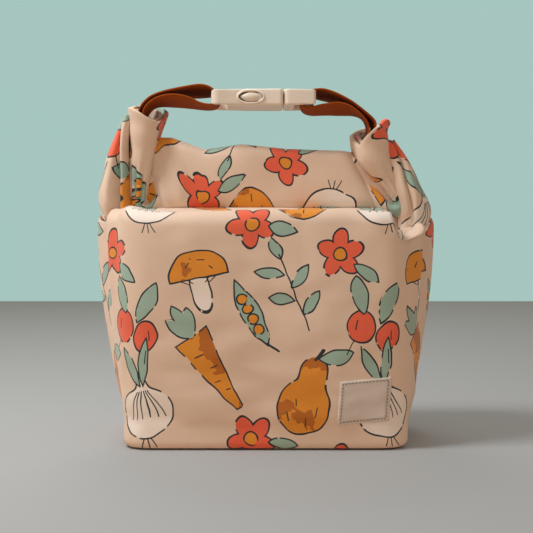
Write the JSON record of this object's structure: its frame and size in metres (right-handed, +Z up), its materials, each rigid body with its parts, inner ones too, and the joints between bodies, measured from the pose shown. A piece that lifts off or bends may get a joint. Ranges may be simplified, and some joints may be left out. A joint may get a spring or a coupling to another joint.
{
  "type": "lunch bag",
  "caption": "Soft insulated lunch bag with a boxed bottom and a roll-top mouth; the roll's turned-up ends carry webbing and a side-release buckle that close into a handle.",
  "frame": {"origin": "centre of the base, on the surface that the bag stands on", "axes": "+Z up, +X to the right seen from the front, front (with the label patch) towards -Y"},
  "size_m": [0.252, 0.1253, 0.2549],
  "materials": {
    "canvas": "printed plain-weave canvas, matt",
    "batting": "soft insulating batting",
    "lining": "wipe-clean silver-grey lining, satin",
    "webbing": "rust twill webbing, soft sheen",
    "buckle_plastic": "ivory moulded plastic, satin",
    "label_cloth": "tan woven cotton, stitched round"
  },
  "bodies": {
    "bag": {"front_panel": "canvas", "back_panel": "canvas", "front_batting": "batting", "back_batting": "batting", "front_lining": "lining", "back_lining": "lining", "label_patch": "label_cloth"},
    "rolled_top": {"front_roll_ply": "canvas", "back_roll_ply": "canvas"},
    "left_ear": {"left_ear_front_ply": "canvas", "left_ear_back_ply": "canvas", "left_side_fold": "canvas", "left_strap_tail": "webbing"},
    "right_ear": {"right_ear_front_ply": "canvas", "right_ear_back_ply": "canvas", "right_side_fold": "canvas", "right_strap_tail": "webbing"},
    "left_handle": {"left_strap_loop": "webbing", "buckle_socket": "buckle_plastic"},
    "right_handle": {"right_strap_loop": "webbing", "buckle_plug": "buckle_plastic"},
    "front_prong": {"front_prong": "buckle_plastic"},
    "rear_prong": {"rear_prong": "buckle_plastic"}
  },
  "joints": [
    {"name": "roll_lift", "type": "slide", "parent": "bag", "child": "rolled_top", "axis": [0, 0, 1], "range_m": [0, 0.045]},
    {"name": "left_ear_unfold", "type": "hinge", "parent": "rolled_top", "child": "left_ear", "pos_m": [-0.127, 0, 0.16], "axis": [0, -1, 0], "range_deg": [0, 80], "deforming": ["front_prong", "rear_prong"]},
    {"name": "right_ear_unfold", "type": "hinge", "parent": "rolled_top", "child": "right_ear", "pos_m": [0.127, 0, 0.16], "axis": [0, 1, 0], "range_deg": [0, 80]},
    {"name": "left_handle_swing", "type": "hinge", "parent": "left_ear", "child": "left_handle", "pos_m": [-0.088, 0, 0.2435], "axis": [0.9971, 0, -0.0762], "range_deg": [-45, 45], "deforming": ["left_strap_loop"]},
    {"name": "right_handle_swing", "type": "hinge", "parent": "right_ear", "child": "right_handle", "pos_m": [0.069, 0, 0.2315], "axis": [0.9971, 0, -0.0762], "range_deg": [-45, 45], "deforming": ["right_strap_loop"]},
    {"name": "front_prong_squeeze", "type": "hinge", "parent": "right_handle", "child": "front_prong", "pos_m": [0.01095, -0.0139, 0.249], "axis": [0, 0, -1], "range_deg": [0, 7.5], "stiffness_Nm_per_rad": 1},
    {"name": "rear_prong_squeeze", "type": "hinge", "parent": "right_handle", "child": "rear_prong", "pos_m": [0.01095, 0.0139, 0.249], "axis": [0, 0, 1], "range_deg": [0, 7.5], "stiffness_Nm_per_rad": 1}
  ],
  "couplings": [
    {"joint": "right_ear_unfold", "follows": "left_ear_unfold", "ratio": 1},
    {"joint": "right_handle_swing", "follows": "left_handle_swing", "ratio": 1}
  ]
}
